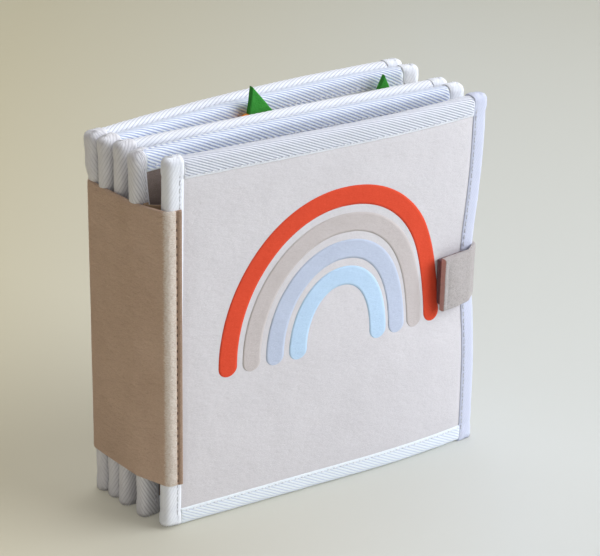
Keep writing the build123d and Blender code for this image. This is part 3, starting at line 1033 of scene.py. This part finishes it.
def arch_piece(number, slot):
    """One printed arch: a line of even width with rounded ends, on the felt's surface."""
    centre = arch_line(number)
    half = ARCH_LINE / 2
    rows = []
    for i, (x, z) in enumerate(centre):
        (xa, za), (xb, zb) = centre[max(i - 1, 0)], centre[min(i + 1, len(centre) - 1)]
        d = hypot(xb - xa, zb - za)
        rows.append((x, z, (xb - xa) / d, (zb - za) / d, half))
    caps = [(sin(radians(a)) * half, cos(radians(a)) * half) for a in (88, 75, 60, 45, 30, 15)]
    x, z = centre[0]
    head = [(x, z - down, 0.0, 1.0, width) for down, width in caps]
    x, z = centre[-1]
    tail = [(x, z - down, 0.0, -1.0, width) for down, width in reversed(caps)]
    rows = head + rows + tail
    outer, inner = [], []
    for x, z, dx, dz, width in rows:
        orow, irow = [], []
        for k in range(ARCH_COLUMNS + 1):
            side = (k / ARCH_COLUMNS * 2 - 1) * width
            px, pz = x - dz * side, z + dx * side
            u = place_of(px)
            o = -felt_offset("front_cover", COVER, -1, u, pz)
            orow.append(at(COVER, u, -(o + ARCH_OVER), pz))
            irow.append(at(COVER, u, -(o - ARCH_INTO), pz))
        outer.append(orow)
        inner.append(irow)
    rim = 2 * (len(rows) + ARCH_COLUMNS + 1) - 4
    label = f"arch_print_{number + 1}"
    obj = mesh_piece(label, *closed_grid(outer, inner), "front_cover", slot, rim=rim)
    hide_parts(f"printed_arch_{number + 1}")


for number, slot in enumerate(("red_print", "taupe_print", "grey_blue_print", "light_blue_print")):
    arch_piece(number, slot)


# Carrots, their pocket and the hinge strips

BACK_LEAF = LINES["back_leaf"]
CARROT_T, CARROT_W, CARROT_L = 9.0, 21.0, 74.0
CARROT_GAP = 0.35
CARROT_OFFSET = -(HALF + CARROT_GAP + CARROT_T / 2)
# How much a carrot's top slopes
CARROT_SLOPE = 0.22
CARROT_SIDES = 20
LEAF_W, LEAF_H = 15.0, 25.0
LEAF_STEPS = 8
# Depth and relative size of a leaf top's layers, from its rounded front to its rounded back
LEAF_LAYERS = ((-1.5, 0.93), (-1.2, 1.0), (0.0, 1.01), (1.2, 1.0), (1.5, 0.93))


def carrot_half_width(t):
    """Half width of a carrot at a share of its length below its top."""
    shoulder = sqrt(max(0.0, 1 - (1 - min(t / 0.14, 1)) ** 2))
    return CARROT_W / 2 * (shoulder * (1 - 0.78 * t ** 1.25) * (1 - smooth(0.9, 1.0, t) * 0.8))


def carrot_spot(place, across, depth, z):
    return at(BACK_LEAF, place + across, CARROT_OFFSET + depth, z)


def tube_faces(rings, sides):
    """Faces between rings of points, all the way round."""
    faces = []
    for i in range(rings - 1):
        a, b = i * sides, (i + 1) * sides
        for k in range(sides):
            j = (k + 1) % sides
            faces.append((a + k, a + j, b + j, b + k))
    return faces


def carrot_body(number, place, top, aside):
    """Stuffed body of a carrot, its top moved aside."""
    rings = [0.0, 0.01, 0.03, 0.07, 0.12] + [0.12 + 0.8 * i / 18 for i in range(1, 19)] + [0.95, 0.98, 1.0]
    sides = CARROT_SIDES
    points = []
    for t in rings:
        w = max(carrot_half_width(t), 0.4)
        h = min(CARROT_T / 2, w) * (0.55 + 0.45 * smooth(0.0, 0.12, t))
        for k in range(sides):
            a = 2 * pi * k / sides
            c, q = cos(a), sin(a)
            x = w * (1 if c > 0 else -1) * abs(c) ** 0.8
            y = h * (1 if q > 0 else -1) * abs(q) ** 0.8
            z = top - t * CARROT_L
            x += 0.25 * wave(x, y, z, 12, number)
            points.append(carrot_spot(place, x + aside * (1 - t), y, z - CARROT_SLOPE * x * (1 - t)))
    faces = tube_faces(len(rings), sides)
    faces.append(tuple(range(sides - 1, -1, -1)))
    faces.append(tuple(range((len(rings) - 1) * sides, len(rings) * sides)))
    obj = mesh_piece(f"carrot_{number}_stuffed", points, faces, "leaves", "orange_felt")
    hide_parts(f"carrot_{number}_body")


def carrot_top(number, place, outline, high):
    """Green top of a carrot, cut from flat felt along an outline."""
    corners = [(x * LEAF_W, high - LEAF_H + z * LEAF_H) for x, z in outline]
    n = len(corners)
    cx, cz = sum(p[0] for p in corners) / n, sum(p[1] for p in corners) / n
    ring = []
    for (xa, za), (xb, zb) in zip(corners, corners[1:] + corners[:1]):
        for i in range(LEAF_STEPS):
            ring.append((xa + (xb - xa) * i / LEAF_STEPS, za + (zb - za) * i / LEAF_STEPS))
    m = len(ring)
    points = []
    for depth, k in LEAF_LAYERS:
        for x, z in ring:
            y = depth + 0.25 * wave(x, z, 0, 9, number)
            points.append(carrot_spot(place, cx + (x - cx) * k, y, cz + (z - cz) * k))
    faces = tube_faces(len(LEAF_LAYERS), m)
    for layer, flip in ((0, True), (len(LEAF_LAYERS) - 1, False)):
        centre = len(points)
        points.append(carrot_spot(place, cx, LEAF_LAYERS[layer][0], cz))
        for k in range(m):
            tri = (centre, layer * m + k, layer * m + (k + 1) % m)
            faces.append(tri[::-1] if flip else tri)
    obj = mesh_piece(f"carrot_{number}_top", points, faces, "leaves", "green_felt", rim=len(faces))
    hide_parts(f"carrot_{number}_leaf")


FIRST_LEAF = ((-0.3, 0.0), (-0.47, 0.45), (-0.34, 1.0), (0.53, 0.4), (0.3, 0.0))
SECOND_LEAF = ((-0.25, 0.0), (-0.52, 0.35), (-0.02, 1.0), (0.5, 0.38), (0.25, 0.0))
# Place along the leaf, upper ends of the body and of the green top, its outline, and how far aside
# the body's top is
CARROTS = ((83.0, 195.4, 209.7, FIRST_LEAF, -5.2), (164.6, 187.0, 200.4, SECOND_LEAF, 0.0))
for number, (place, body_high, leaf_high, outline, aside) in enumerate(CARROTS, 1):
    carrot_body(number, place, body_high, aside)
    carrot_top(number, place, outline, leaf_high)


TURN_STEPS = 8


def smooth_path(points, radius, step):
    """Plan path through corners with rounded turns: x, y, left normal and distance run."""
    out = [points[0]]
    for (xa, ya), (xb, yb), (xc, yc) in zip(points, points[1:], points[2:]):
        da, dc = hypot(xb - xa, yb - ya), hypot(xc - xb, yc - yb)
        ra, rc = min(radius, da / 2.05), min(radius, dc / 2.05)
        p = (xb + (xa - xb) * ra / da, yb + (ya - yb) * ra / da)
        q = (xb + (xc - xb) * rc / dc, yb + (yc - yb) * rc / dc)
        for i in range(TURN_STEPS + 1):
            t = i / TURN_STEPS
            x = (1 - t) ** 2 * p[0] + 2 * t * (1 - t) * xb + t * t * q[0]
            y = (1 - t) ** 2 * p[1] + 2 * t * (1 - t) * yb + t * t * q[1]
            out.append((x, y))
    out.append(points[-1])
    dense = [out[0]]
    for (xa, ya), (xb, yb) in zip(out, out[1:]):
        n = max(1, int(hypot(xb - xa, yb - ya) / step))
        dense += [(xa + (xb - xa) * i / n, ya + (yb - ya) * i / n) for i in range(1, n + 1)]
    path, run = [], 0.0
    for i, (x, y) in enumerate(dense):
        (xa, ya), (xb, yb) = dense[max(i - 1, 0)], dense[min(i + 1, len(dense) - 1)]
        d = hypot(xb - xa, yb - ya)
        if i:
            run += hypot(x - dense[i - 1][0], y - dense[i - 1][1])
        path.append((x, y, -(yb - ya) / d, (xb - xa) / d, run))
    return path, run


def strip_piece(name, points, radius, thick, low, high, slot, seed, body="leaves"):
    """Upright felt strip along a plan route; without a body it is attached to none."""
    path, run = smooth_path(points, radius, 2.0)
    zs = edged(low, high, 4.0, 0.5)

    def side(sign):
        def reach(r, z):
            return sign * thick / 2 * rounding(min(z - low, high - z), 0.5) + 0.06 * wave(r, z, 0, 9, seed)
        return reach
    obj = belt_mesh(name + "_felt", path, zs, side(-1), side(1), body, slot)
    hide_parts(name)
    return obj


# How far behind the boards' spine edges a strip turns, and how far it lies off their tapes
STRIP_OUT, STRIP_OFF = 1.6, 0.5


def strip_route(front_name, rear_name, front_gap, rear_gap, rear_end=0.0):
    """Route of a strip from the rear of one board, round behind it, to the front of the next."""
    a, b = LINES[front_name], LINES[rear_name]
    front, rear = HALF + front_gap + STRIP_OFF, -(HALF + rear_gap + STRIP_OFF)
    turn = -LEG - STRIP_OUT
    route = []
    for line, place, offset in ((a, 0.0, front), (a, turn, front), (b, turn, rear), (b, rear_end, rear)):
        p = at(line, place, offset, ROUTE_HEIGHT) / MM
        route.append((p.x, p.y))
    return route


route = strip_route("front_cover", "front_leaf", 0.35, 0.1, -4.2)
obj = strip_piece("hinge_strip_front_cover", route, 2.6, 0.7, BAND_LOW, BAND_HIGH, "strip_felt", 1.0, None)
x, y = plan(COVER, -LEG - STRIP_OUT, HALF + 2.0)
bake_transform(obj)
route = strip_route("front_leaf", "middle_leaf", 0.1, 0.1)
strip_piece("hinge_strip_front_leaf", route, 2.2, 0.8, 27.0, 166.0, "strip_felt", 2.0)
for name, sign in (("hinge_strip_middle_leaf", -1), ("hinge_strip_back_cover", 1)):
    route = [plan(BACK_LEAF, place, sign * (HALF + 0.6)) for place in (-LEG, -LEG / 2, 0.0)]
    strip_piece(name, route, 1.0, 0.9, BAND_LOW, BAND_HIGH, "strip_felt", 3.0 + sign)

# The pocket's heights, its two ends along the leaf and its wall, then the offsets it is sewn and runs at
POCKET_LOW, POCKET_HIGH = 108.0, 166.0
POCKET_A, POCKET_B, POCKET_WALL = 62.0, 177.0, 2.0
POCKET_STEPS = 12
POCKET_SEWN = -FELT_FACE - 0.9
POCKET_FAR = -(HALF + 2 * CARROT_GAP + CARROT_T + POCKET_WALL / 2)
wall_a, wall_b = POCKET_A + POCKET_WALL / 2, POCKET_B - POCKET_WALL / 2
route = [plan(BACK_LEAF, wall_a, POCKET_SEWN)]
for i in range(POCKET_STEPS + 1):
    route.append(plan(BACK_LEAF, wall_a + (wall_b - wall_a) * i / POCKET_STEPS, POCKET_FAR))
route.append(plan(BACK_LEAF, wall_b, POCKET_SEWN))
strip_piece("carrot_pocket", route, 3.0, POCKET_WALL, POCKET_LOW, POCKET_HIGH, "pocket_felt", 6.0)
us = spread(POCKET_A + POCKET_WALL, POCKET_B - POCKET_WALL, 5.0)
zs = (POCKET_LOW + 0.2, POCKET_LOW + 2.0)
front = [[at(BACK_LEAF, u, POCKET_FAR + POCKET_WALL / 2, z) for z in zs] for u in us]
back = [[at(BACK_LEAF, u, POCKET_SEWN, z) for z in zs] for u in us]
bottom = mesh_piece("carrot_pocket_bottom", *closed_grid(front, back), "leaves", "pocket_felt")


# Floor, light and camera

# The floor's two tones beside each other, its far tone, and how much it shines for the camera alone; the
# warmer, darker left tone and the darker far tone are partly the floor's own tone and partly painted shade
FLOOR_LEFT, FLOOR_RIGHT, FLOOR_FAR = (213, 204, 174), (220, 223, 221), (180, 177, 158)
FLOOR_GLOW, FLOOR_GLOW_SHARE = 0.82, 0.22


def floor_material():
    """Pale floor whose tone runs across and away, darker to the left and far off partly as painted shade,
    with a share of it lit for the camera.
    """
    m, nt, shader = material("floor", (225, 222, 212), 0.95)
    coords = node(nt, "ShaderNodeTexCoord").outputs["Object"]
    turned = node(nt, "ShaderNodeMapping", {"Vector": coords, "Rotation": (0, 0, radians(32))})
    split = node(nt, "ShaderNodeSeparateXYZ", {"Vector": turned.outputs["Vector"]})
    tone = mix(nt, ramp(nt, split.outputs["X"], -0.24, 0.12), linear(FLOOR_LEFT), linear(FLOOR_RIGHT))
    tone = mix(nt, ramp(nt, split.outputs["Y"], 0.0, 1.1, 0, 0.7), tone, linear(FLOOR_FAR))
    nt.links.new(tone, shader.inputs["Base Color"])
    glow = node(nt, "ShaderNodeEmission", {"Color": tone, "Strength": FLOOR_GLOW})
    seen = node(nt, "ShaderNodeLightPath").outputs["Is Camera Ray"]
    share = node(nt, "ShaderNodeMath", {0: seen, 1: FLOOR_GLOW_SHARE}, operation="MULTIPLY")
    both = node(nt, "ShaderNodeMixShader", {0: share.outputs[0], 1: shader.outputs[0], 2: glow.outputs[0]})
    nt.links.new(both.outputs[0], nt.nodes["Material Output"].inputs["Surface"])
    return m


def make_world():
    """Soft warm light from all round, stronger from above."""
    world = bpy.data.worlds.new("world")
    bpy.context.scene.world = world
    world.use_nodes = True
    sky = world.node_tree
    background = sky.nodes["Background"]
    facing = node(sky, "ShaderNodeTexCoord").outputs["Generated"]
    height = node(sky, "ShaderNodeSeparateXYZ", {"Vector": facing}).outputs["Z"]
    sky.links.new(ramp(sky, height, 0.0, 0.9, 0.1, 0.42), background.inputs["Strength"])
    background.inputs["Color"].default_value = (1.0, 0.955, 0.895, 1)


def area_light(name, place, target, size, power, colour):
    """Round area light at a place, aimed at a target, in metres and watts."""
    data = bpy.data.lights.new(name, "AREA")
    data.shape = "DISK"
    data.size = size
    data.energy = power
    data.color = colour
    obj = bpy.data.objects.new(name, data)
    bpy.context.scene.collection.objects.link(obj)
    obj.location = place
    obj.rotation_euler = (Vector(target) - Vector(place)).to_track_quat("-Z", "Y").to_euler()


# Camera fitted to the photograph: yaw, pitch and roll in degrees, place in millimetres
CAMERA_PLACE = (-510.93, -830.16, 553.06)
CAMERA_YAW, CAMERA_PITCH, CAMERA_ROLL = -32.113, 24.658, -1.286
FOCAL_PIXELS, PHOTO_WIDTH = 2052.1, 600
SENSOR = 36.0


def make_camera():
    data = bpy.data.cameras.new("camera")
    camera = bpy.data.objects.new("camera", data)
    bpy.context.scene.collection.objects.link(camera)
    bpy.context.scene.camera = camera
    data.sensor_width = SENSOR
    data.lens = FOCAL_PIXELS / PHOTO_WIDTH * SENSOR
    data.clip_end = 20
    yaw, pitch, roll = radians(CAMERA_YAW), radians(CAMERA_PITCH), radians(CAMERA_ROLL)
    forward = Vector((-sin(yaw) * cos(pitch), cos(yaw) * cos(pitch), -sin(pitch)))
    camera.location = Vector(CAMERA_PLACE) * MM
    camera.rotation_mode = "QUATERNION"
    camera.rotation_quaternion = forward.to_track_quat("-Z", "Y") @ Quaternion((0, 0, 1), -roll)


bpy.ops.mesh.primitive_plane_add(size=8, location=(0, 0, 0))
floor = bpy.context.object
floor.name = "floor"
floor.data.materials.append(floor_material())
make_world()
area_light("key", (2.15, -1.47, 1.49), (0.05, 0, 0.08), 2.8, 100, (0.92, 0.957, 1.0))
area_light("overhead", (0.35, 0.5, 1.7), (0, 0.02, 0.1), 1.2, 9, (0.98, 0.985, 1.0))
area_light("fill", (-1.1, -0.9, 0.1), (-0.1, 0, 0.02), 0.7, 1.6, (1.0, 0.97, 0.93))
make_camera()
bpy.context.scene.view_settings.view_transform = "Standard"
